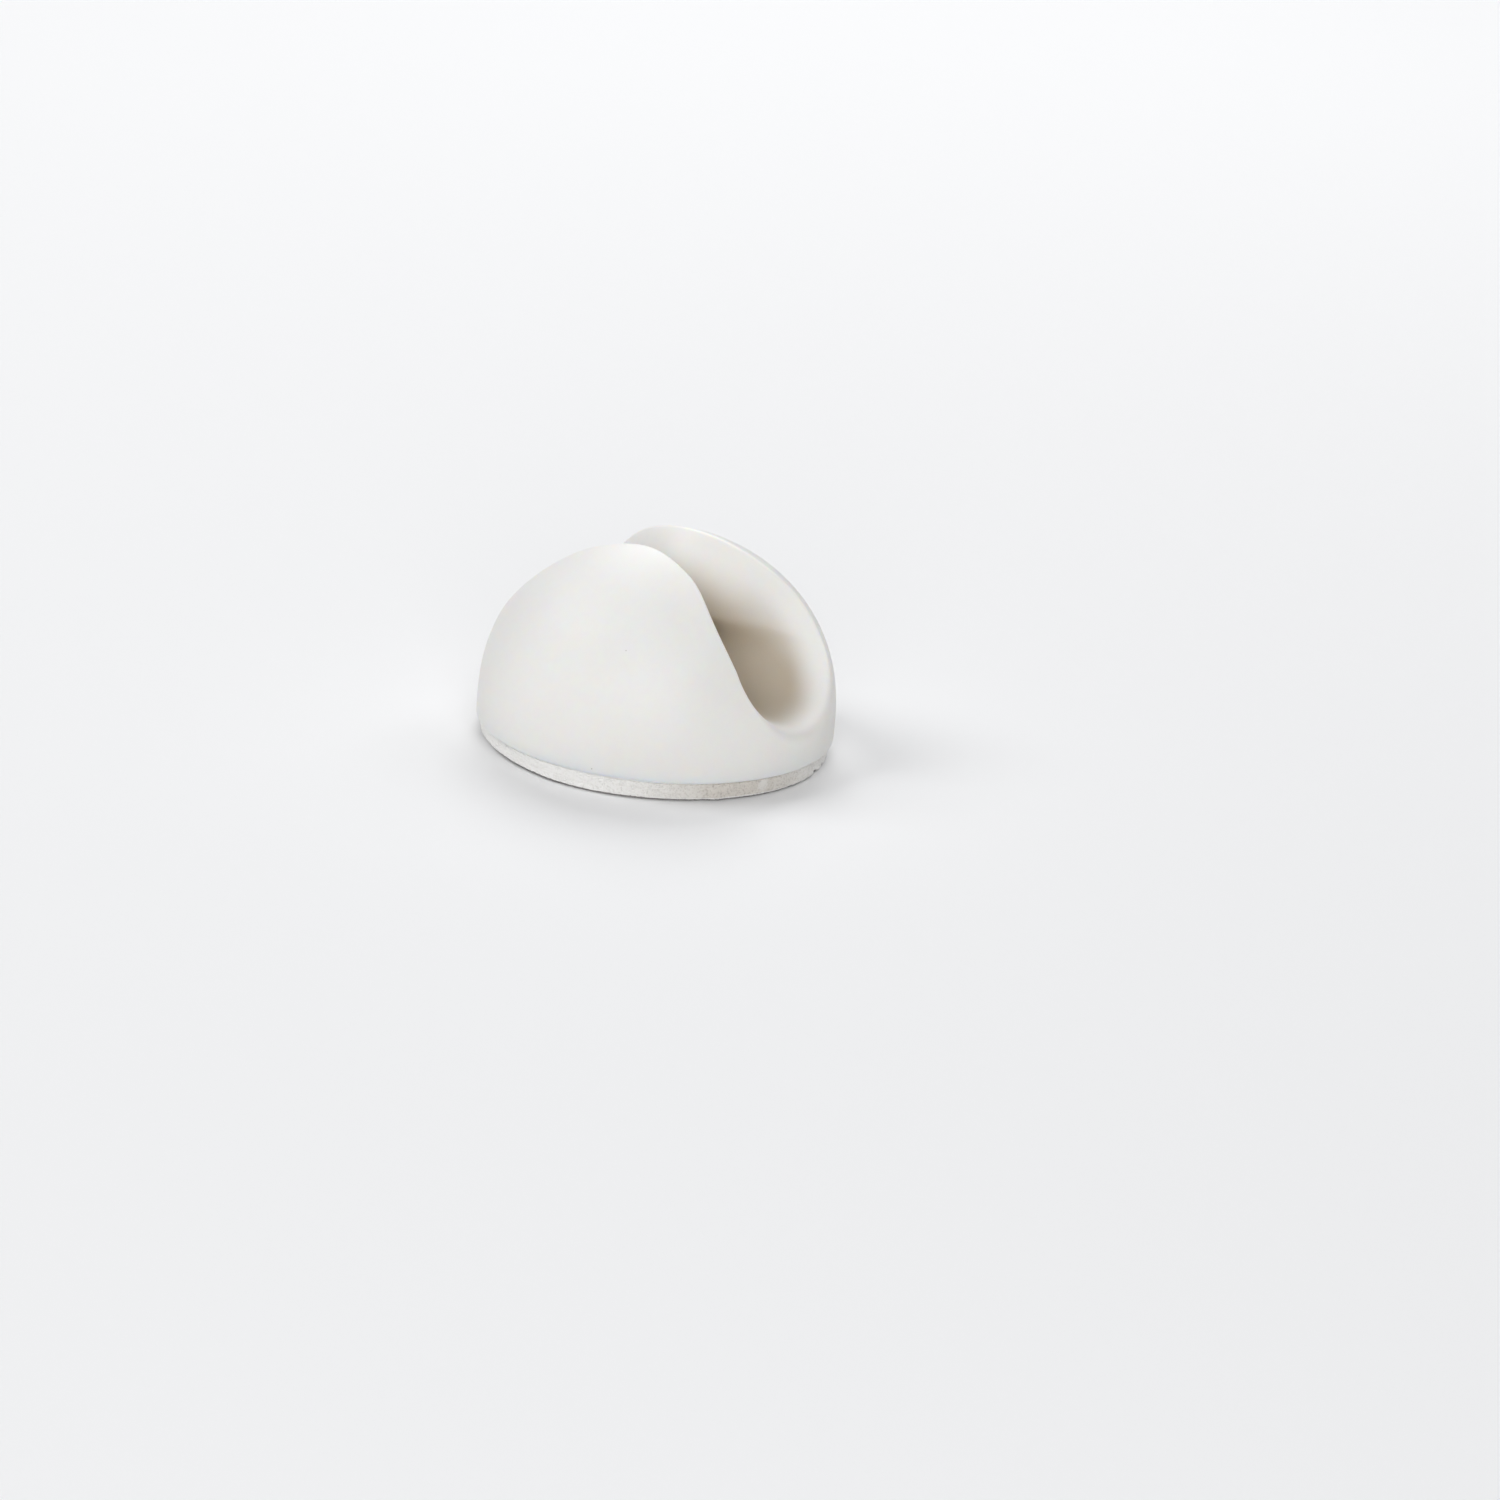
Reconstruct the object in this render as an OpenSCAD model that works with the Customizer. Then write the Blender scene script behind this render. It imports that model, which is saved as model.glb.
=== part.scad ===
// Adhesive cable clip: a domed rubber body with a pinched channel, on a round foam pad.
// Millimetres. Z = 0 is the face that sticks to the table, the channel runs along X.

/* [Dome] */
// Widest diameter of the dome
dome_d = 21; // [20:0.1:23]
// Height of the dome over its underside, as if it had no channel
dome_h = 11.75; // [11:0.05:13]
// Height over the underside where the dome is widest
waist_h = 0.9; // [0.6:0.1:1.4]
// How much narrower the underside is than the widest place, on the radius
tuck = 0.03; // [0:0.01:0.2]
// Rounding of the bottom edge
foot_r = 0.1; // [0.05:0.05:0.4]
// Fullness of the crown, where 2 is an ellipse
crown_power = 2.3; // [2.1:0.1:2.6]
// Fullness of the shoulder, where 2 is an ellipse
shoulder_power = 1.8; // [1.6:0.05:2]

/* [Bore] */
// Bore in the middle, where the cable is held
bore_d = 3.8; // [3.2:0.1:4.4]
// Height of the bore's axis over the underside of the dome
bore_h = 5.2; // [4.6:0.1:5.8]
// Length of the bore before it starts to flare
bore_len = 5; // [4:0.1:6.5]

/* [Mouths] */
// Growth of the channel's radius for each millimetre along a mouth
flare = 0.61; // [0.55:0.01:0.7]
// Softness of the turn from the bore into a mouth
flare_turn = 1; // [0.6:0.1:1.6]
// Rise of the channel's centre for each millimetre that its radius grows
mouth_rise = 0.75; // [0.7:0.01:0.85]
// Angle by which the walls lean apart
wall_lean = 23.5; // [14:0.5:28]

/* [Lobes] */
// Gap between the two lobes in the middle
slot_gap = 0.9; // [0.5:0.1:1.6]
// Half length over which the lobes pinch together
pinch_len = 4.2; // [3:0.1:4.8]
// Radius of the round lips with which the lobes meet over the bore
lip_r = 5; // [4:0.1:8]
// Softness of the corner between the bore and the gap
neck_blend = 0.7; // [0.3:0.05:0.9]

/* [Rim rounding] */
// Rounding of the rim on the sides of a mouth
side_round = 0.2; // [0.15:0.05:0.6]
// Rounding of the rim on the crests of the lobes
crest_round = 0.3; // [0.2:0.05:1]
// Rounding of the rim on the sill, below the cable
sill_round = 0.8; // [0.6:0.1:1.4]
// Height below the crests over which their rounding fades out
crest_reach = 1.8; // [1:0.1:3]
// Height over the sill over which its rounding fades out
sill_reach = 3; // [2:0.1:4]

/* [Adhesive pad] */
// Diameter of the foam pad
pad_d = 20.2; // [18:0.1:20.4]
// Thickness of the foam with both of its adhesive faces
pad_h = 1.1; // [0.8:0.1:1.6]

/* [Hidden] */
dome_r = dome_d / 2;
bore_r = bore_d / 2;
stations = 60;  // steps along the channel, from sill to sill
across = 20;    // steps from the rim down to the floor of the channel
down = 8;       // steps from the rim down the outside to the foot
foot_steps = 3; // steps round the bottom edge
rim_steps = 4;  // steps round the rim
skin = 0.04;    // the lofted bore is this much under size, and the round cut brings it to size
cut_len = 2 * bore_len;
halvings = 32;

// Radius of the dome at a height over its underside
function dome_at(z) =
    z >= waist_h
        ? let (t = min((z - waist_h) / (dome_h - waist_h), 1))
          dome_r * pow(1 - pow(t, crown_power), 1 / shoulder_power)
        : let (low = (waist_h - z) / waist_h, edge = max(foot_r - z, 0))
          dome_r - tuck * low * low - foot_r + sqrt(max(foot_r * foot_r - edge * edge, 0));

// Height at which the dome narrows to a radius
function dome_top(r) =
    waist_h + (dome_h - waist_h) * pow(max(1 - pow(abs(r) / dome_r, shoulder_power), 0), 1 / crown_power);

// Growth of the channel's radius at a place along it
function growth(x) =
    let (past = max(abs(x) - bore_len / 2, 0))
    sqrt(flare_turn * flare_turn + flare * flare * past * past) - flare_turn;
function channel_r(x) = bore_r - skin + growth(x);
function channel_z(x) = bore_h + mouth_rise * growth(x);
function floor_z(x) = channel_z(x) - channel_r(x);
function pinch(x) = exp(-pow(x / pinch_len, 2));

// Half width of the channel at a place and height: a round trough whose walls leave it as tangents
// and lean apart, and which turn into two round lips over the bore in the middle
function half_width(x, z) =
    let (r = channel_r(x))
    let (above = z - channel_z(x))
    let (round_part = sqrt(max(r * r - above * above, 0)))
    above <= -r * sin(wall_lean)
        ? round_part
        : let (leaning = r / cos(wall_lean) + above * tan(wall_lean))
          let (lip = slot_gap / 2 + pow(max(above - r, 0), 2) / (2 * lip_r))
          let (wall = leaning + pinch(x) * (lip - leaning))
          let (soft = neck_blend * pinch(x) + 0.0001)
          let (near = max(soft - abs(round_part - wall), 0) / soft)
          max(round_part, wall) + near * near * soft / 4;

// Root of a falling function between two values
function root(f, low, high, n = halvings) =
    n == 0
        ? (low + high) / 2
        : let (mid = (low + high) / 2)
          f(mid) > 0 ? root(f, mid, high, n - 1) : root(f, low, mid, n - 1);

// The rim: where the channel breaks through the dome
sill_z = root(function (z) floor_z(dome_at(z)) - z, waist_h, dome_h / 2);
sill_x = dome_at(sill_z);
function side_y(x, z) = sqrt(max(pow(dome_at(z), 2) - x * x, 0));
function rim_z(x) =
    abs(x) >= sill_x
        ? sill_z
        : root(function (z) side_y(x, z) - half_width(x, z), waist_h, dome_top(x));
crest_z = rim_z(0);

// Place along the wall of the channel, as an arc length up from the floor
function neck_angle(x) = acos(min(max(half_width(x, channel_z(x) + channel_r(x)) / channel_r(x), 0), 1));
function wall_z(x, s) =
    let (r = channel_r(x))
    let (turn = s / r * 180 / PI)
    let (neck = 90 + neck_angle(x) * 0.9)
    turn <= neck
        ? channel_z(x) - r * cos(turn)
        : channel_z(x) - r * cos(neck) + (s - r * neck * PI / 180);
function wall_s(x, z) =
    let (r = channel_r(x))
    let (neck = 90 + neck_angle(x) * 0.9)
    let (neck_z = channel_z(x) - r * cos(neck))
    z <= neck_z
        ? r * acos(max(min((channel_z(x) - z) / r, 1), -1)) * PI / 180
        : r * neck * PI / 180 + z - neck_z;
function wall_point(x, s) = let (z = wall_z(x, s)) [x, half_width(x, z), z];

// Rounding of the rim at a height
function near_to(z, at, reach) = pow(max(1 - abs(z - at) / reach, 0), 2);
function rounding(z) =
    side_round
    + (crest_round - side_round) * near_to(z, crest_z, crest_reach)
    + (sill_round - side_round) * near_to(z, sill_z, sill_reach);

// Rim stations, crowded towards the sills where the rim turns fastest
function station_x(i) = sill_x * sin(180 * i / stations - 90);
rim = [for (i = [0:stations])
    let (x = station_x(i))
    let (z = rim_z(x))
    [x, i == 0 || i == stations ? 0 : side_y(x, z), z]];

function unit(v) = v / max(norm(v), 0.000001);
function mirrored(p) = [p[0], -p[1], p[2]];

// The rim on the channel's own surface, as [x, arc length], and the same set in by the rounding
function rim_on_wall(i) = [rim[i][0], wall_s(rim[i][0], rim[i][2])];
function wall_inset(i) =
    let (here = rim_on_wall(i))
    let (back = i == 0 ? let (q = rim_on_wall(1)) [q[0], -q[1]] : rim_on_wall(i - 1))
    let (on = i == stations ? let (q = rim_on_wall(stations - 1)) [q[0], -q[1]] : rim_on_wall(i + 1))
    let (along = unit(on - back))
    here + rounding(rim[i][2]) * [along[1], -along[0]];

// The rim on the dome, as [arc length round it, height], and the same set out by the rounding
function azimuth(p) = atan2(p[1], p[0]);
function dome_slope(z) = let (e = 0.01) (dome_at(z - e) - dome_at(z + e)) / (2 * e);
function rim_on_dome(i) = [-azimuth(rim[i]) * PI / 180, rim[i][2]];
function dome_outset(i) =
    let (z = rim[i][2])
    let (r = dome_at(z))
    let (stretch = sqrt(1 + pow(dome_slope(z), 2)))
    let (here = rim_on_dome(i))
    let (back = i == 0 ? let (q = rim_on_dome(1)) [-2 * PI - q[0], q[1]] : rim_on_dome(i - 1))
    let (on = i == stations ? let (q = rim_on_dome(stations - 1)) [-q[0], q[1]] : rim_on_dome(i + 1))
    let (along = unit([(on[0] - back[0]) * r, (on[1] - back[1]) * stretch]))
    let (move = rounding(z) * [along[1] / r, -along[0] / stretch])
    here + move;

function on_dome(turn, z) = [dome_at(z) * cos(turn), -dome_at(z) * sin(turn), z];
function bend(a, b, c, t) = (1 - t) * (1 - t) * a + 2 * t * (1 - t) * b + t * t * c;

// One side of one station, from the foot up the outside, over the rim and down to the floor
function outside(i) =
    let (top = dome_outset(i))
    let (turn_top = top[0] * 180 / PI)
    let (turn_foot = 180 * i / stations - 180)
    concat(
        [for (k = [0:foot_steps - 1])
            let (z = foot_r * (1 - cos(90 * k / foot_steps)))
            on_dome(turn_foot, z)],
        [for (k = [0:down])
            let (t = k / down)
            on_dome(turn_foot + (turn_top - turn_foot) * t * t, foot_r + (top[1] - foot_r) * t)]
    );
function over_rim(i) =
    let (top = dome_outset(i))
    let (start = on_dome(top[0] * 180 / PI, top[1]))
    let (inner = wall_inset(i))
    let (finish = wall_point(inner[0], inner[1]))
    [for (k = [1:rim_steps - 1]) bend(start, rim[i], finish, k / rim_steps)];
function inside(i) =
    let (inner = wall_inset(i))
    concat(
        [for (k = [0:across - 1]) wall_point(inner[0], inner[1] * (1 - k / across))],
        [[inner[0], 0, floor_z(inner[0])]]
    );

// A half ring is one side of a station, and the whole ring adds its mirror image
rim_in = foot_steps + down + rim_steps;
half_count = rim_in + across;
ring_size = 2 * half_count + 1;
function half_ring(i) = concat(outside(i), over_rim(i), inside(i));
function whole_ring(i) =
    let (half = half_ring(i))
    [for (j = [0:ring_size - 1]) j <= half_count ? half[j] : mirrored(half[2 * half_count - j])];

// Number of a point. The two end rings are folded flat, so both their sides share the same points
function at(i, j) =
    i > 0 && i < stations
        ? i * ring_size + j
        : i * ring_size + min(j > half_count ? 2 * half_count - j : j, rim_in);
function patch(i, j, k) =
    let (a = at(i, j), b = at(i + 1, j), c = at(i + 1, k), d = at(i, k))
    concat(a == b || b == c || a == c ? [] : [[a, b, c]], a == c || c == d || a == d ? [] : [[a, c, d]]);

module clip_body() {
    color("ivory")
    translate([0, 0, pad_h])
    difference() {
        loft_body();
        translate([0, 0, bore_h])
        rotate([0, 90, 0])
        cylinder(r = bore_r, h = cut_len, center = true, $fn = 96);
    }
}

module loft_body() {
    rings = [for (i = [0:stations]) each whole_ring(i)];
    walls = [for (i = [0:stations - 1]) for (j = [0:ring_size - 2]) each patch(i, j, j + 1)];
    underside = [for (i = [0:stations - 1]) each patch(i, ring_size - 1, 0)];
    polyhedron(rings, concat(walls, underside), convexity = 6);
}

module adhesive_pad() {
    color("gainsboro")
    cylinder(d = pad_d, h = pad_h, $fn = 128);
}

clip_body();
adhesive_pad();
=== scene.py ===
# Adhesive cable clip: a soft rubber dome with a pinched channel, on a round foam pad
import math
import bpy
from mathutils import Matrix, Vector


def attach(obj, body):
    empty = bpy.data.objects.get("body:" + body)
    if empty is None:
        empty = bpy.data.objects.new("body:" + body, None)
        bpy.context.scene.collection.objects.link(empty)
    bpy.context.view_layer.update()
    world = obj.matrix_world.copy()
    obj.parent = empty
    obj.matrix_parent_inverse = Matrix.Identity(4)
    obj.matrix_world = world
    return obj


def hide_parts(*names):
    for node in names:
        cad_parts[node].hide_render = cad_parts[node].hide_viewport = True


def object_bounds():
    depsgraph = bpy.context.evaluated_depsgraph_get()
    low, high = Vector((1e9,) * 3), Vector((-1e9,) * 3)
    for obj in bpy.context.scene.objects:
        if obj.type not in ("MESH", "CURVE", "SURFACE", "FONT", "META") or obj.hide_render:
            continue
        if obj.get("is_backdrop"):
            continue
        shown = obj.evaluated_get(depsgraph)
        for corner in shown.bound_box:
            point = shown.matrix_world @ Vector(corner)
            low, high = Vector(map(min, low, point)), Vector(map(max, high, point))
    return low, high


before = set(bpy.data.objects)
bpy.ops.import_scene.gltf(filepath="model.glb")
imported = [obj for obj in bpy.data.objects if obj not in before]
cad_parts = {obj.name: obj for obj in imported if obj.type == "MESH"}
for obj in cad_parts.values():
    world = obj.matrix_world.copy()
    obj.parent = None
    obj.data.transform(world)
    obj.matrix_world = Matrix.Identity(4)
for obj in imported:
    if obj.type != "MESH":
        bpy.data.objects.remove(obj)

from types import SimpleNamespace

import bpy
from mathutils import Matrix, Vector

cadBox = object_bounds()
mm = 0.001
print("stage: frame loaded, with", ", ".join(sorted(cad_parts)))


# Arithmetic on sockets

class Wire:
    # one output socket, which takes part in plain expressions in shader and geometry trees alike
    def __init__(self, board, socket):
        self.board = board
        self.socket = socket

    def other(self, name):
        return Wire(self.board, self.socket.node.outputs[name])

    def __add__(self, value):
        return self.board.math("ADD", self, value)

    def __radd__(self, value):
        return self.board.math("ADD", value, self)

    def __sub__(self, value):
        return self.board.math("SUBTRACT", self, value)

    def __rsub__(self, value):
        return self.board.math("SUBTRACT", value, self)

    def __mul__(self, value):
        return self.board.math("MULTIPLY", self, value)

    def __rmul__(self, value):
        return self.board.math("MULTIPLY", value, self)

    def __truediv__(self, value):
        return self.board.math("DIVIDE", self, value)

    def __rtruediv__(self, value):
        return self.board.math("DIVIDE", value, self)

    def __pow__(self, value):
        return self.board.math("POWER", self, value)

    def __neg__(self):
        return self.board.math("SUBTRACT", 0.0, self)

    def __abs__(self):
        return self.board.math("ABSOLUTE", self)

    def __gt__(self, value):
        return self.board.math("GREATER_THAN", self, value)

    def __lt__(self, value):
        return self.board.math("LESS_THAN", self, value)

    def atLeast(self, value):
        return self.board.math("MAXIMUM", self, value)

    def atMost(self, value):
        return self.board.math("MINIMUM", self, value)

    def limited(self):
        return self.atLeast(0.0).atMost(1.0)

    def root(self):
        return self.board.math("SQRT", self.atLeast(0.0))

    def sine(self):
        return self.board.math("SINE", self)

    def cosine(self):
        return self.board.math("COSINE", self)

    def arccosine(self):
        return self.board.math("ARCCOSINE", self)

    def exponent(self):
        return self.board.math("EXPONENT", self)

    def rising(self, low, high):
        # a smooth step from 0 at low to 1 at high
        settings = {"interpolation_type": "SMOOTHSTEP"}
        return self.board.node("ShaderNodeMapRange", settings, {"Value": self, "From Min": low, "From Max": high})


class Board:
    # a node tree, and the one way in which its nodes are made
    def __init__(self, tree):
        self.tree = tree

    def node(self, kind, settings=None, values=None, out=0):
        made = self.tree.nodes.new(kind)
        for name, value in (settings or {}).items():
            if name == "stops":
                self.setStops(made.color_ramp, value)
            else:
                setattr(made, name, value)
        for key, value in (values or {}).items():
            socket = made.inputs[key] if isinstance(key, int) else self.find(made.inputs, key)
            if isinstance(value, Wire):
                self.tree.links.new(value.socket, socket)
            else:
                socket.default_value = value
        found = made.outputs[out] if isinstance(out, int) else self.find(made.outputs, out)
        return Wire(self, found)

    def find(self, sockets, name):
        return next(s for s in sockets if s.name == name and s.enabled)

    def setStops(self, ramp, stops):
        while len(ramp.elements) < len(stops):
            ramp.elements.new(1.0)
        for element, (place, shade) in zip(ramp.elements, stops):
            element.position = place
            element.color = (*shade, 1.0) if len(shade) == 3 else shade

    def math(self, operation, *values):
        return self.node("ShaderNodeMath", {"operation": operation}, dict(enumerate(values)))

    def vector(self, x, y, z):
        return self.node("ShaderNodeCombineXYZ", values={0: x, 1: y, 2: z})

    def parts(self, vector):
        x = self.node("ShaderNodeSeparateXYZ", values={0: vector})
        return x, x.other("Y"), x.other("Z")

    def blend(self, mask, low, high):
        # one colour into another
        settings = {"data_type": "RGBA"}
        return self.node("ShaderNodeMix", settings, {"Factor": mask, "A": low, "B": high}, "Result")

    def noise(self, place, scale, detail=2.0, roughness=0.5):
        values = {"Vector": place, "Scale": scale, "Detail": detail, "Roughness": roughness}
        return self.node("ShaderNodeTexNoise", values=values)


def pick(mask, yes, no):
    return no + mask * (yes - no)


# Geometry trees

def addInputs(board, kinds):
    # named inputs on a tree, and the wires that come out of them
    for key, kind in kinds.items():
        board.tree.interface.new_socket(name=key, in_out="INPUT", socket_type=kind)
    entry = board.tree.nodes.new("NodeGroupInput")
    return {key: Wire(board, entry.outputs[key]) for key in kinds}


def startTree(name, sizes):
    board = Board(bpy.data.node_groups.new(name, "GeometryNodeTree"))
    board.tree.interface.new_socket(name="Geometry", in_out="OUTPUT", socket_type="NodeSocketGeometry")
    kinds = {key: "NodeSocketInt" if isinstance(value, int) else "NodeSocketFloat" for key, value in sizes.items()}
    return board, SimpleNamespace(**addInputs(board, kinds))


def formula(sizeNames, results="value"):
    # keeps a rule as a node group of its own, which is then used like a function
    def keep(rule):
        arguments = rule.__code__.co_varnames[1:rule.__code__.co_argcount]
        inner = Board(bpy.data.node_groups.new(rule.__name__, "GeometryNodeTree"))
        for name in results.split():
            inner.tree.interface.new_socket(name=name, in_out="OUTPUT", socket_type="NodeSocketFloat")
        wires = addInputs(inner, dict.fromkeys([*arguments, *sizeNames.split()], "NodeSocketFloat"))
        found = rule(SimpleNamespace(**wires), *[wires[name] for name in arguments])
        finish = inner.tree.nodes.new("NodeGroupOutput")
        for socket, wire in zip(finish.inputs, found if isinstance(found, tuple) else (found,)):
            inner.tree.links.new(wire.socket, socket)

        def use(size, *values):
            outer = getattr(size, sizeNames.split()[0]).board
            sizes = {name: getattr(size, name) for name in sizeNames.split()}
            made = outer.node("GeometryNodeGroup", {"node_tree": inner.tree}, {**dict(zip(arguments, values)), **sizes})
            outputs = [made.other(name) for name in results.split()]
            return outputs if len(outputs) > 1 else outputs[0]
        return use
    return keep


def endTree(board, geometry, material):
    joined = board.node("GeometryNodeMergeByDistance", values={"Geometry": geometry, "Distance": 0.001 * mm})
    smooth = board.node("GeometryNodeSetShadeSmooth", values={"Geometry": joined})
    real = board.node("GeometryNodeRealizeInstances", values={"Geometry": smooth})
    painted = board.node("GeometryNodeSetMaterial", values={"Geometry": real, "Material": material})
    finish = board.tree.nodes.new("NodeGroupOutput")
    board.tree.links.new(painted.socket, finish.inputs[0])


def growPiece(name, board, sizes):
    # puts a tree on a new object, sets its inputs and keeps the plain mesh that comes out
    piece = bpy.data.objects.new(name, bpy.data.meshes.new(name))
    bpy.context.scene.collection.objects.link(piece)
    modifier = piece.modifiers.new("tree", "NODES")
    modifier.node_group = board.tree
    for item in board.tree.interface.items_tree:
        if item.in_out == "INPUT":
            modifier[item.identifier] = sizes[item.name]
    graph = bpy.context.evaluated_depsgraph_get()
    mesh = bpy.data.meshes.new_from_object(piece.evaluated_get(graph), depsgraph=graph)
    piece.modifiers.remove(modifier)
    piece.data = mesh
    mesh.name = name
    print("stage:", name, "has", len(mesh.polygons), "faces")
    return piece


def halve(falling, low, high, steps=22):
    # the root of a falling function between two values, by halving in a repeat zone
    board = low.board
    start = board.tree.nodes.new("GeometryNodeRepeatInput")
    finish = board.tree.nodes.new("GeometryNodeRepeatOutput")
    start.pair_with_output(finish)
    finish.repeat_items.clear()
    for name, value in (("low", low), ("high", high)):
        finish.repeat_items.new("FLOAT", name)
        board.tree.links.new(value.socket, start.inputs[name])
    start.inputs["Iterations"].default_value = steps
    lowNow = Wire(board, start.outputs["low"])
    highNow = Wire(board, start.outputs["high"])
    middle = (lowNow + highNow) / 2
    stillLow = falling(middle) > 0
    board.tree.links.new(pick(stillLow, middle, lowNow).socket, finish.inputs["low"])
    board.tree.links.new(pick(stillLow, highNow, middle).socket, finish.inputs["high"])
    return (Wire(board, finish.outputs["low"]) + Wire(board, finish.outputs["high"])) / 2


# Materials

def startMaterial(name):
    material = bpy.data.materials.new(name)
    material.use_nodes = True
    material.node_tree.nodes.clear()
    board = Board(material.node_tree)
    place = board.node("ShaderNodeTexCoord", out="Object")
    inMillimetres = board.node("ShaderNodeMapping", values={"Vector": place, "Scale": (1000, 1000, 1000)})
    return material, board, inMillimetres


def endMaterial(board, values):
    shader = board.node("ShaderNodeBsdfPrincipled", values=values)
    output = board.tree.nodes.new("ShaderNodeOutputMaterial")
    board.tree.links.new(shader.socket, output.inputs["Surface"])


rubberLook = {
    "pale": (0.88, 0.875, 0.855, 1),
    "warm": (0.87, 0.86, 0.832, 1),
    "foot": (0.825, 0.812, 0.785, 1), "footShadeTo": 8.0,  # painted shade, darker towards the table
    "deep": (0.53, 0.46, 0.365, 1),  # painted shade, darker and warmer in the depth of the channel
    "deepFrom": 0.9, "deepTo": 4.7,  # mm straight down from the dome's outer face
    "rim": (0.94, 0.92, 0.87, 1),    # painted highlight along the thin rim, where light comes through it
    "rimFrom": 0.05, "rimTo": 0.2,
    "roughness": 0.48,
    "grain": 9.0,         # moulded grain, per mm
    "grainDepth": 0.012,  # mm
    "speck": (0.5, 0.47, 0.42, 1),
    "speckScale": 0.55, "speckSize": 0.045,
}


def makeRubber():
    material, board, place = startMaterial("moulded rubber")
    patches = board.noise(place, 0.22, 3.0)
    fine = board.noise(place, 1.7, 4.0, 0.6)
    colour = board.blend((patches * 0.7 + fine * 0.3).rising(0.35, 0.65), rubberLook["pale"], rubberLook["warm"])
    # how far a place lies in from the dome's outer face and under it, which is far only in the channel
    x, y, z = board.parts(place)
    out = (x * x + y * y).root() / (rubberBody["domeWidth"] / 2)
    tall = rubberBody["domeHeight"] - rubberBody["waistHeight"]
    waist = rubberBody["underside"] + rubberBody["waistHeight"]
    crown = tall * (1 - out ** rubberBody["shoulderPower"]).atLeast(0.0) ** (1 / rubberBody["crownPower"])
    share = ((z - waist) / tall).limited()
    side = (1 - share ** rubberBody["crownPower"]).atLeast(0.0) ** (1 / rubberBody["shoulderPower"])
    inward = (side - out) * (rubberBody["domeWidth"] / 2)
    # painted shade: the rubber grows darker towards the table
    colour = board.blend(z.rising(rubberLook["footShadeTo"], 0.0) * 0.8, colour, rubberLook["foot"])
    down = waist + crown - z
    inside = inward.atMost(down)
    # a painted highlight along the thin rim
    edge = inside.rising(rubberLook["rimFrom"] * 0.5, rubberLook["rimFrom"])
    edge = edge * (1 - inside.rising(rubberLook["rimFrom"], rubberLook["rimTo"])) * (z - waist).rising(2.0, 5.0)
    colour = board.blend(edge, colour, rubberLook["rim"])
    # painted shade deep in the channel, far under the dome's outer face
    shade = down.rising(rubberLook["deepFrom"], rubberLook["deepTo"]) * inward.rising(0.1, 2.6)
    colour = board.blend(shade, colour, rubberLook["deep"])
    dust = board.node("ShaderNodeTexVoronoi", values={"Vector": place, "Scale": rubberLook["speckScale"]})
    size = rubberLook["speckSize"] * rubberLook["speckScale"]
    colour = board.blend(1 - dust.rising(size * 0.6, size), colour, rubberLook["speck"])
    grain = board.noise(place, rubberLook["grain"], 3.0, 0.6)
    bump = board.node("ShaderNodeBump", values={
        "Height": grain, "Distance": rubberLook["grainDepth"] * mm, "Strength": 0.6})
    endMaterial(board, {
        "Base Color": colour,
        "Roughness": fine * 0.12 + (rubberLook["roughness"] - 0.06),
        "Specular IOR Level": 0.35,
        "Subsurface Weight": 0.7,
        "Subsurface Radius": (1.0, 0.72, 0.45),
        "Subsurface Scale": 1.0 * mm,
        "Normal": bump,
    })
    return material


foamLook = {
    "pale": (0.93, 0.92, 0.895, 1),
    "tan": (0.71, 0.67, 0.615, 1),
    "tanTurn": math.radians(-25), "tanWidth": 0.32,  # where the cut is most soiled and darkest with painted shade, round the pad from +X
    "pore": (0.45, 0.41, 0.36, 1),
    "streak": (0.74, 0.725, 0.69, 1), "streakScale": 5.0,
    "lip": (0.94, 0.935, 0.92, 1), "lipHeight": 0.24,  # where the cut edge is smeared with glue
    "smear": (0.9, 0.89, 0.87, 1),
    "smearPlace": (9.85, -3.2, 0.7), "smearSize": 0.6,
}


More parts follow.
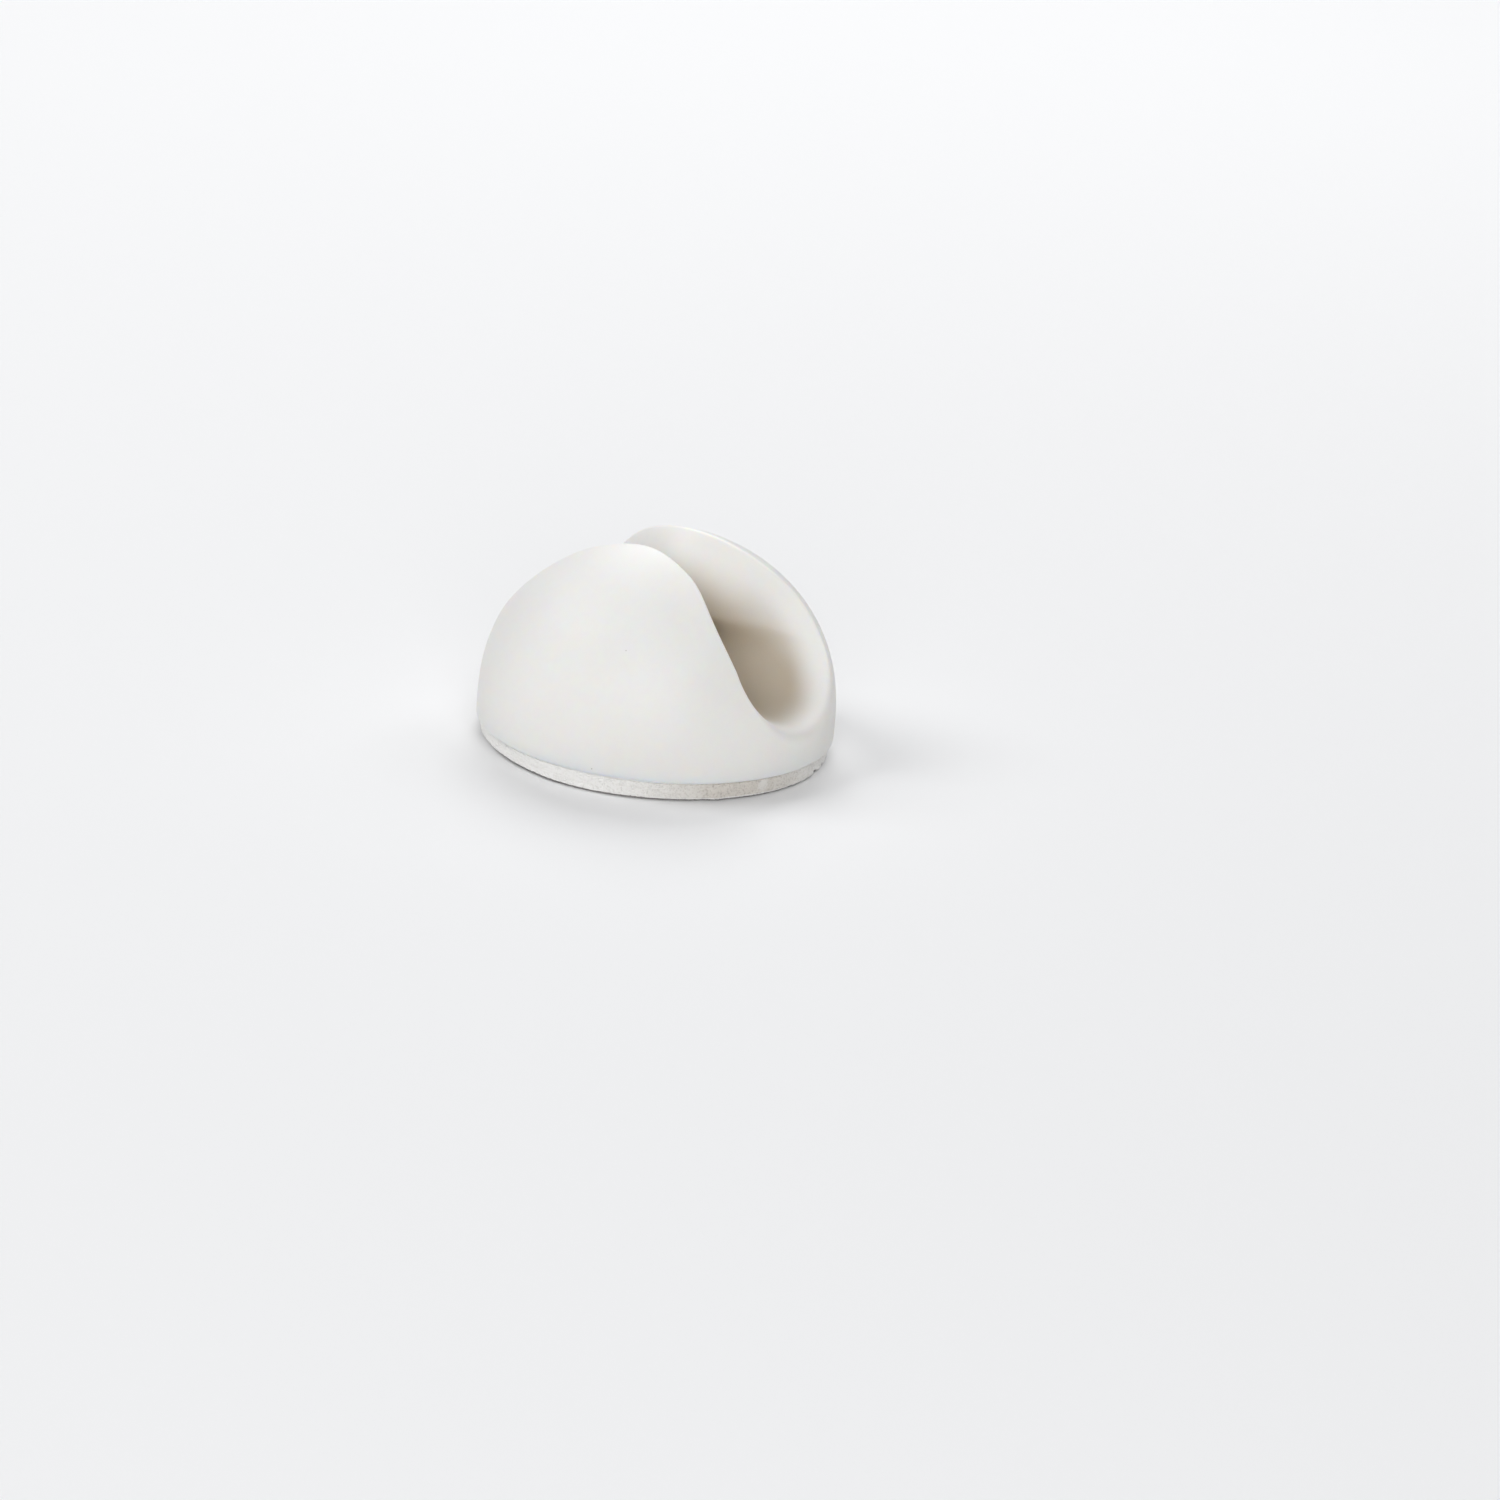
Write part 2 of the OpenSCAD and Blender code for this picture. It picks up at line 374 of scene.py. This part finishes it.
def makeFoam():
    material, board, place = startMaterial("cut foam")
    x, y, z = board.parts(place)
    # one side of the pad is tan with dirt and darker with painted shade
    facing = (x * math.cos(foamLook["tanTurn"]) + y * math.sin(foamLook["tanTurn"])) / foamPad["radius"]
    blotches = board.noise(place, 0.6, 3.0, 0.6)
    soiled = ((facing - 1) / foamLook["tanWidth"] ** 2 + (blotches - 0.5) * 0.8).exponent().limited()
    cells = board.node("ShaderNodeTexVoronoi", values={"Vector": place, "Scale": foamPad["poreScale"]})
    grit = board.noise(place, 9.0, 4.0, 0.75)
    pores = 1 - (cells + (grit - 0.5) * 0.8).rising(0.1, 0.5)
    colour = board.blend(soiled, foamLook["pale"], foamLook["tan"])
    colour = board.blend(pores * (0.1 + 0.3 * soiled), colour, foamLook["pore"])
    # the knife has left streaks where the cut is clean
    along = board.math("ARCTAN2", y, x) * foamPad["radius"]
    streaks = board.noise(board.vector(along * 0.22, 0.0, z * foamLook["streakScale"]), 1.0, 3.0, 0.6)
    colour = board.blend(streaks.rising(0.5, 0.75) * (1 - soiled) * 0.3, colour, foamLook["streak"])
    # glue that has run along the cut edge and over it
    lip = 1 - (z + (grit - 0.5) * 0.12).rising(foamLook["lipHeight"] - 0.03, foamLook["lipHeight"] + 0.03)
    colour = board.blend(lip * soiled * 0.8, colour, foamLook["lip"])
    away = board.node("ShaderNodeVectorMath", {"operation": "DISTANCE"}, {0: place, 1: foamLook["smearPlace"]}, "Value")
    smeared = 1 - (away + (grit - 0.5) * 0.8).rising(foamLook["smearSize"] * 0.3, foamLook["smearSize"])
    colour = board.blend(smeared * 0.45, colour, foamLook["smear"])
    bump = board.node("ShaderNodeBump", values={
        "Height": grit + 1 - pores, "Distance": 0.03 * mm, "Strength": 0.7})
    endMaterial(board, {
        "Base Color": colour,
        "Roughness": 0.9 - 0.5 * smeared,
        "Specular IOR Level": 0.25,
        "Normal": bump,
    })
    return material


filmLook = {
    "clear": (0.9, 0.895, 0.88, 1),
    "soiled": (0.78, 0.75, 0.7, 1),
    "edgeShade": (0.3, 0.285, 0.28, 1), "edgeShadeFrom": 9.5,  # painted shade along its edge near the table, for the dark gap under the pad
    "roughness": 0.28,
}


def makeFilm():
    material, board, place = startMaterial("adhesive film")
    dust = board.noise(place, 1.3, 4.0, 0.65)
    colour = board.blend(dust.rising(0.45, 0.7), filmLook["clear"], filmLook["soiled"])
    x, y, z = board.parts(place)
    # painted shade at the film's edge near the table, lighter towards the left
    edge = (x * x + y * y).root().rising(filmLook["edgeShadeFrom"], filmLook["edgeShadeFrom"] + 0.2) * (z < 0.6)
    colour = board.blend(edge * (0.45 + 0.55 * x.rising(-8.0, 0.0)), colour, filmLook["edgeShade"])
    bump = board.node("ShaderNodeBump", values={"Height": dust, "Distance": 0.02 * mm, "Strength": 0.5})
    endMaterial(board, {
        "Base Color": colour,
        "Roughness": filmLook["roughness"] + 0.3 * dust,
        "Normal": bump,
    })
    return material


# The rubber body, by the same rule as the solid, with finer steps

rubberBody = {
    "domeWidth": 21.0, "domeHeight": 11.75, "waistHeight": 0.9, "tuck": 0.03, "footRound": 0.1,
    "crownPower": 2.3, "shoulderPower": 1.8,
    "boreWidth": 3.8, "boreHeight": 5.2, "boreLength": 5.0,
    "flare": 0.61, "flareTurn": 1.0, "mouthRise": 0.75, "wallLean": math.radians(23.5),
    "slotGap": 0.9, "pinchLength": 4.2, "lipRound": 5.0, "neckBlend": 0.7,
    "sideRound": 0.2, "crestRound": 0.3, "crestReach": 1.8, "sillRound": 0.8, "sillReach": 3.0,
    "underside": 1.1,  # its height over the table
    "stations": 168, "downSteps": 26, "footSteps": 6, "rimSteps": 10, "acrossSteps": 44,
}


@formula("domeWidth domeHeight waistHeight tuck footRound crownPower shoulderPower")
def domeRadius(size, z):
    # the radius of the dome at a height
    radius = size.domeWidth / 2
    share = ((z - size.waistHeight) / (size.domeHeight - size.waistHeight)).limited()
    above = radius * (1 - share ** size.crownPower).atLeast(0.0) ** (1 / size.shoulderPower)
    low = ((size.waistHeight - z) / size.waistHeight).atLeast(0.0)
    edge = (size.footRound - z).atLeast(0.0)
    foot = (size.footRound * size.footRound - edge * edge).root() - size.footRound
    return above - size.tuck * low * low + foot


@formula("domeWidth domeHeight waistHeight crownPower shoulderPower")
def domeTop(size, x):
    # the height at which the dome narrows to a radius
    share = (1 - (abs(x) / size.domeWidth * 2) ** size.shoulderPower).atLeast(0.0)
    return size.waistHeight + (size.domeHeight - size.waistHeight) * share ** (1 / size.crownPower)


@formula("boreWidth boreHeight boreLength flare flareTurn mouthRise", "radius height")
def channel(size, x):
    # the round trough at a place along the channel, which grows and rises towards each mouth
    past = size.flare * (abs(x) - size.boreLength / 2).atLeast(0.0)
    growth = (size.flareTurn * size.flareTurn + past * past).root() - size.flareTurn
    return size.boreWidth / 2 + growth, size.boreHeight + size.mouthRise * growth


@formula("wallLean slotGap pinchLength lipRound neckBlend")
def channelHalf(size, x, radius, above):
    # half the channel's width: walls leave the trough as tangents, lean apart and turn into round lips
    share = x / size.pinchLength
    pinch = (-(share * share)).exponent()
    leanSine = size.wallLean.sine()
    leanCosine = size.wallLean.cosine()
    roundPart = (radius * radius - above * above).root()
    over = (above - radius).atLeast(0.0)
    leaning = radius / leanCosine + above * leanSine / leanCosine
    wall = pick(pinch, size.slotGap / 2 + over * over / (2 * size.lipRound), leaning)
    soft = size.neckBlend * pinch + 0.0001
    near = (soft - abs(roundPart - wall)).atLeast(0.0) / soft
    blended = roundPart.atLeast(wall) + near * near * soft / 4
    return pick(above > -(radius * leanSine), blended, roundPart)


def trough(size, x):
    radius, height = channel(size, x)
    return height - radius


def gapToDome(size, x, z):
    # how far the dome's side stands out past the channel's wall, which is nothing at the rim
    radius, height = channel(size, x)
    round = domeRadius(size, z)
    return (round * round - x * x).root() - channelHalf(size, x, radius, z - height)


def neckTurn(size, x, radius):
    # the angle up the trough at which its wall is no longer measured as an arc
    share = (channelHalf(size, x, radius, radius) / radius).limited()
    return math.pi / 2 + 0.9 * share.arccosine()


@formula("boreWidth boreHeight boreLength flare flareTurn mouthRise wallLean slotGap pinchLength lipRound neckBlend")
def wallLength(size, x, z):
    # the way up the channel's wall from its floor to a height
    radius, height = channel(size, x)
    neck = neckTurn(size, x, radius)
    neckZ = height - radius * neck.cosine()
    share = ((height - z) / radius).atLeast(-1.0).atMost(1.0)
    return pick(z > neckZ, radius * neck + z - neckZ, radius * share.arccosine())


@formula("boreWidth boreHeight boreLength flare flareTurn mouthRise wallLean slotGap pinchLength lipRound neckBlend",
         "half z")
def wallPoint(size, x, length):
    # the place on the channel's wall that lies that far up from its floor
    radius, height = channel(size, x)
    neck = neckTurn(size, x, radius)
    turn = length / radius
    straight = height - radius * neck.cosine() + length - radius * neck
    z = pick(turn > neck, straight, height - radius * turn.cosine())
    return channelHalf(size, x, radius, z - height), z


def storePoint(board, geometry, name, vector):
    settings = {"data_type": "FLOAT_VECTOR", "domain": "POINT"}
    values = {"Geometry": geometry, "Name": name, "Value": vector}
    return board.node("GeometryNodeStoreNamedAttribute", settings, values)


def storedPoint(board, name):
    return board.node("GeometryNodeInputNamedAttribute", {"data_type": "FLOAT_VECTOR"}, {"Name": name})


def samplePoint(board, geometry, name, place):
    settings = {"data_type": "FLOAT_VECTOR", "domain": "POINT", "clamp": True}
    values = {"Geometry": geometry, "Value": storedPoint(board, name), "Index": place}
    return board.parts(board.node("GeometryNodeSampleIndex", settings, values))


def rimLine(board, size):
    # one point for each station along the channel, which knows the rim there and how far it is rounded
    sillHeight = halve(lambda z: trough(size, domeRadius(size, z)) - z, size.waistHeight, size.domeHeight / 2)
    crestHeight = halve(lambda z: gapToDome(size, size.slotGap * 0, z), size.waistHeight, size.domeHeight)
    index = board.node("GeometryNodeInputIndex")
    inner = (index > 0.5) * (index < size.stations - 0.5)
    x = domeRadius(size, sillHeight) * (math.pi * index / size.stations - math.pi / 2).sine()
    height = halve(lambda z: gapToDome(size, x, z), size.waistHeight * 1, domeTop(size, x))
    height = pick(inner, height, sillHeight)
    radius = domeRadius(size, height)
    line = board.node("GeometryNodeMeshLine", values={"Count": size.stations + 1})
    line = storePoint(board, line, "rim", board.vector(x, (radius * radius - x * x).root() * inner, height))
    x, y, z = board.parts(storedPoint(board, "rim"))
    crest = (1 - abs(z - crestHeight) / size.crestReach).atLeast(0.0)
    sill = (1 - abs(z - sillHeight) / size.sillReach).atLeast(0.0)
    rounding = (size.sideRound + (size.crestRound - size.sideRound) * crest * crest
                + (size.sillRound - size.sideRound) * sill * sill)
    turn = -board.math("ARCTAN2", y, x)
    line = storePoint(board, line, "unrolled", board.vector(wallLength(size, x, z), turn, rounding))
    length, turn, rounding = board.parts(storedPoint(board, "unrolled"))
    backX, unused, backZ = samplePoint(board, line, "rim", index - 1)
    onX, unused, onZ = samplePoint(board, line, "rim", index + 1)
    backLength, backTurn, unused = samplePoint(board, line, "unrolled", index - 1)
    onLength, onTurn, unused = samplePoint(board, line, "unrolled", index + 1)
    # set in by the rounding, square to the rim on the channel's unrolled wall
    alongX = (onX - backX) * inner
    alongWall = onLength - backLength
    step = (alongX * alongX + alongWall * alongWall).root().atLeast(0.000001)
    inset = board.vector(x + rounding * alongWall / step, length - rounding * alongX / step, 0.0)
    line = storePoint(board, line, "inset", inset)
    # set out by the rounding, square to the rim on the dome
    radius = domeRadius(size, z)
    slope = (domeRadius(size, z - 0.01) - domeRadius(size, z + 0.01)) / 0.02
    stretch = (1 + slope * slope).root()
    alongTurn = (onTurn - backTurn) * radius
    alongZ = (onZ - backZ) * stretch * inner
    step = (alongTurn * alongTurn + alongZ * alongZ).root().atLeast(0.000001)
    outset = board.vector(turn + rounding * alongZ / step / radius, z - rounding * alongTurn / step / stretch, 0.0)
    return storePoint(board, line, "outset", outset), index


def plantBody(material):
    board, size = startTree("rubber body", rubberBody)
    line, index = rimLine(board, size)
    # one ring for each station: up the outside, over the rim and down to the floor, then its mirror image
    rimStart = size.footSteps + size.downSteps
    rimEnd = rimStart + size.rimSteps
    halfCount = rimEnd + size.acrossSteps
    ringCount = 2 * halfCount + 2
    sheet = board.node("GeometryNodeMeshGrid", values={"Vertices X": size.stations + 1, "Vertices Y": ringCount})
    station = board.math("FLOOR", (index + 0.5) / ringCount)
    step = index - station * ringCount
    step = step * (step < 2 * halfCount + 0.5)
    mirrored = step > halfCount + 0.5
    step = pick(mirrored, 2 * halfCount - step, step)
    rim = samplePoint(board, line, "rim", station)
    insetX, insetLength, unused = samplePoint(board, line, "inset", station)
    topTurn, topZ, unused = samplePoint(board, line, "outset", station)

    def onDome(turn, z):
        radius = domeRadius(size, z)
        return radius * turn.cosine(), -(radius * turn.sine()), z

    footTurn = math.pi * station / size.stations - math.pi
    up = ((step - size.footSteps) / size.downSteps).limited()
    footZ = size.footRound * (1 - (math.pi / 2 * step / size.footSteps).cosine())
    wallZ = size.footRound + (topZ - size.footRound) * up
    outside = onDome(footTurn + (topTurn - footTurn) * up * up, pick(step < size.footSteps, footZ, wallZ))
    over = ((step - rimStart) / size.rimSteps).limited()
    start = onDome(topTurn, topZ)
    finish = (insetX, *wallPoint(size, insetX, insetLength))
    rounded = [(1 - over) * (1 - over) * a + 2 * over * (1 - over) * b + over * over * c
               for a, b, c in zip(start, rim, finish)]
    down = ((step - rimEnd) / size.acrossSteps).limited()
    inside = (insetX, *wallPoint(size, insetX, insetLength * (1 - down)))
    x, y, z = [pick(step < rimStart + 0.5, a, pick(step < rimEnd - 0.5, b, c))
               for a, b, c in zip(outside, rounded, inside)]
    y = y * (step < halfCount - 0.5) * (1 - 2 * mirrored)
    shaped = board.node("GeometryNodeSetPosition", values={
        "Geometry": sheet, "Position": board.vector(x * mm, y * mm, (z + size.underside) * mm)})
    outwards = board.node("GeometryNodeFlipFaces", values={"Mesh": shaped})
    endTree(board, outwards, material)
    return growPiece("rubberBody", board, rubberBody)


body = plantBody(makeRubber())
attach(body, "root")
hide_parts("clip_body")


# The foam pad and the adhesive film on each of its faces, as discs that are cut out by hand

foamPad = {
    "radius": 10.17, "offX": 0.1, "offY": -0.18, "bottom": 0.15, "top": 1.05, "corner": 0.04,
    "wander": 0.07, "wanderScale": 0.25,  # how far the cut strays, and how often for each mm
    "ragged": 0.06, "raggedScale": 2.4,
    "poreDepth": 0.06, "poreScale": 6.5,
    "bulge": 0.1, "bulgeTurn": math.radians(-84), "bulgeWidth": 0.22,
    "lift": 0.2, "liftTurn": math.radians(-128), "liftWidth": 0.35,  # the edge comes off the table here
    "liftAtTop": 0.0,
    "columns": 1500, "faceSteps": 5, "sideSteps": 26,
}
lowerFilm = {
    **foamPad, "radius": 9.95, "bottom": 0.0, "top": 0.15, "corner": 0.01,
    "ragged": 0.1, "raggedScale": 1.6, "poreDepth": 0.0, "liftAtTop": 1.0,
    "columns": 900, "faceSteps": 4, "sideSteps": 3,
}
upperFilm = {
    **lowerFilm, "radius": 10.12, "bottom": 1.05, "top": 1.1, "ragged": 0.03, "raggedScale": 3.0, "lift": 0.0,
}
chips = [  # places where the foam is torn, in mm, and how deep
    {"place": (-1.6, -10.25, 0.45), "size": 0.13, "depth": 0.35},
    {"place": (9.9, 2.45, 0.2), "size": 0.26, "depth": 0.6},
    {"place": (9.5, 3.7, 0.26), "size": 0.2, "depth": 0.5},
    {"place": (8.5, -5.85, 0.2), "size": 0.45, "depth": -0.14},  # a tongue of foam stands out here
]


def cutDisc(name, sizes, material):
    board, size = startTree(name, sizes)
    rows = size.faceSteps * 2 + size.sideSteps + 1
    sheet = board.node("GeometryNodeMeshGrid", values={"Vertices X": size.columns + 1, "Vertices Y": rows})
    index = board.node("GeometryNodeInputIndex")
    column = board.math("FLOOR", (index + 0.5) / rows)
    row = index - column * rows
    turn = 2 * math.pi * column / size.columns
    # along each column: out over the lower face, up the side and back in over the upper face
    up = ((row - size.faceSteps) / size.sideSteps).limited()
    out = (row / size.faceSteps).atMost((rows - 1 - row) / size.faceSteps).atMost(1.0)
    thickness = size.top - size.bottom
    toFace = (up.atMost(1 - up) * thickness).atMost(size.corner)
    short = size.corner - toFace
    corner = size.corner - (size.corner * size.corner - short * short).root()

    def near(middle, width):
        # 1 at a direction round the disc, and falling off on both sides of it
        return (((turn - middle).cosine() - 1) / (width * width)).exponent()

    # the cut edge
    edge = board.vector(size.radius * turn.cosine(), size.radius * turn.sine(), size.bottom + thickness * up)
    level = board.vector(size.radius * turn.cosine(), size.radius * turn.sine(), 0.0)
    stray = (board.noise(level, size.wanderScale, 3.0) - 0.5) * 2 * size.wander
    torn = (board.noise(edge, size.raggedScale, 4.0, 0.6) - 0.5) * 2 * size.ragged
    cells = board.node("ShaderNodeTexVoronoi", values={"Vector": edge, "Scale": size.poreScale})
    pore = (1 - cells.rising(0.1, 0.5)) * size.poreDepth
    radius = size.radius + stray + torn - pore - corner + size.bulge * near(size.bulgeTurn, size.bulgeWidth)
    for chip in chips:
        away = board.node("ShaderNodeVectorMath", {"operation": "DISTANCE"}, {0: edge, 1: chip["place"]}, "Value")
        radius = radius - chip["depth"] * (-(away * away) / chip["size"] ** 2).exponent()
    radius = radius * out
    lift = size.lift * near(size.liftTurn, size.liftWidth) * out ** 6.0 * (1 - up * (1 - size.liftAtTop))
    x = radius * turn.cosine() + size.offX
    y = radius * turn.sine() + size.offY
    z = size.bottom + thickness * up + lift
    shaped = board.node("GeometryNodeSetPosition", values={
        "Geometry": sheet, "Position": board.vector(x * mm, y * mm, z * mm)})
    endTree(board, shaped, material)
    return growPiece(name, board, sizes)


film = makeFilm()
padPieces = [
    cutDisc("foamPad", foamPad, makeFoam()),
    cutDisc("lowerFilm", lowerFilm, film),
    cutDisc("upperFilm", upperFilm, film),
]
for piece in padPieces:
    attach(piece, "root")
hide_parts("adhesive_pad")


# Floor, light and camera

def makeFloor():
    bpy.ops.mesh.primitive_plane_add(size=4.0)
    floor = bpy.context.object
    floor.name = "floor"
    material, board, place = startMaterial("plain floor")
    endMaterial(board, {"Base Color": (0.89, 0.89, 0.892, 1), "Roughness": 0.9, "Specular IOR Level": 0.0})
    floor.data.materials.append(material)
    floor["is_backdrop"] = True


makeFloor()

view = {
    "azimuth": 33.0, "elevation": 19.28, "roll": 4.94,  # degrees
    "distance": 0.32, "lens": 130.9, "sensor": 36.0,
    "basePixel": (653.3, 740.2), "imageSize": 1500,
}

sky = {"colour": (0.97, 0.985, 1, 1), "strength": 0.02}
lampSize = 0.3
lampReach = 0.5
lampColour = (0.985, 0.99, 1.0)
lamps = {  # to the right, towards the camera and up, then the power in watts
    "back": {"aim": (0, -1, 1), "power": 1.12},
    "backRight": {"aim": (1, -1, 1.4), "power": 0.45},
    "left": {"aim": (-1, 0, 1), "power": 1.0},
    "right": {"aim": (1, 0, 1), "power": 0.15},
    "front": {"aim": (0.15, 0.8, 1), "power": 0.45},
    "low": {"aim": (0, 1, 0.35), "power": 1.03},
}


def makeLight():
    world = bpy.data.worlds.new("studio")
    world.use_nodes = True
    world.node_tree.nodes["Background"].inputs["Color"].default_value = sky["colour"]
    world.node_tree.nodes["Background"].inputs["Strength"].default_value = sky["strength"]
    bpy.context.scene.world = world
    turn = Matrix.Rotation(math.radians(view["azimuth"]), 3, "Z")
    for name, lamp in lamps.items():
        light = bpy.data.lights.new(name, "AREA")
        light.shape = "DISK"
        light.size = lampSize
        light.energy = lamp["power"]
        light.color = lampColour
        holder = bpy.data.objects.new(name, light)
        bpy.context.scene.collection.objects.link(holder)
        right, towards, up = lamp["aim"]
        place = turn @ Vector((right, -towards, up)).normalized() * lampReach
        holder.location = place
        holder.rotation_euler = place.to_track_quat("Z", "Y").to_euler()


makeLight()


def makeCamera():
    turn, rise, roll = (math.radians(view[k]) for k in ("azimuth", "elevation", "roll"))
    back = Vector((math.sin(turn) * math.cos(rise), -math.cos(turn) * math.cos(rise), math.sin(rise)))
    right = Vector((math.cos(turn), math.sin(turn), 0))
    up = back.cross(right)
    rolledRight = right * math.cos(roll) + up * math.sin(roll)
    rolledUp = up * math.cos(roll) - right * math.sin(roll)
    data = bpy.data.cameras.new("camera")
    data.lens = view["lens"]
    data.sensor_width = view["sensor"]
    data.clip_start = 0.01
    data.clip_end = 10
    size = view["imageSize"]
    data.shift_x = (size / 2 - view["basePixel"][0]) / size
    data.shift_y = (view["basePixel"][1] - size / 2) / size
    camera = bpy.data.objects.new("camera", data)
    bpy.context.scene.collection.objects.link(camera)
    turned = Matrix((rolledRight, rolledUp, back)).transposed().to_4x4()
    camera.matrix_world = Matrix.Translation(back * view["distance"]) @ turned
    bpy.context.scene.camera = camera


makeCamera()
bpy.context.scene.view_settings.view_transform = "Standard"

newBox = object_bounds()
